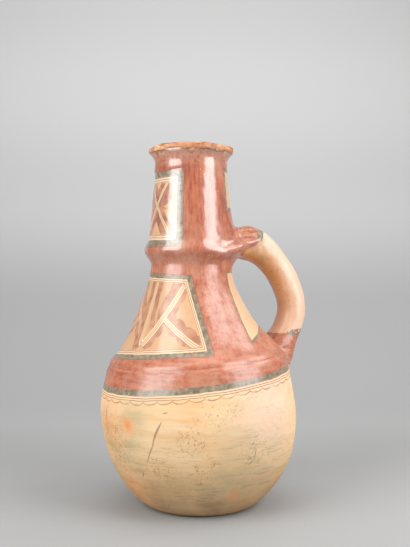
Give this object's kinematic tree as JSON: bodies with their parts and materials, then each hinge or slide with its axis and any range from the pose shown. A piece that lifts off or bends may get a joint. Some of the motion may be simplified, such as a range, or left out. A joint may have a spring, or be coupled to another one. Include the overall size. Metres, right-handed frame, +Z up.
{
  "type": "one-handled jug",
  "caption": "Hollow round-bellied clay jug with a flared bell, a rolled collar, a tall open neck and a strap handle from collar to shoulder, standing on a flat foot.",
  "frame": {"origin": "centre of the flat underside of the foot", "axes": "+Z up through the neck, +X from the foot's centre towards the handle, so the handle lies in the plane y = 0"},
  "size_m": [0.2136, 0.1936, 0.3523],
  "materials": {
    "painted_clay": "low-fired clay, red slip polished and coated with resin above, matte cream slip on the belly and handle"
  },
  "bodies": {
    "root": {"jug": "painted_clay"}
  },
  "joints": []
}
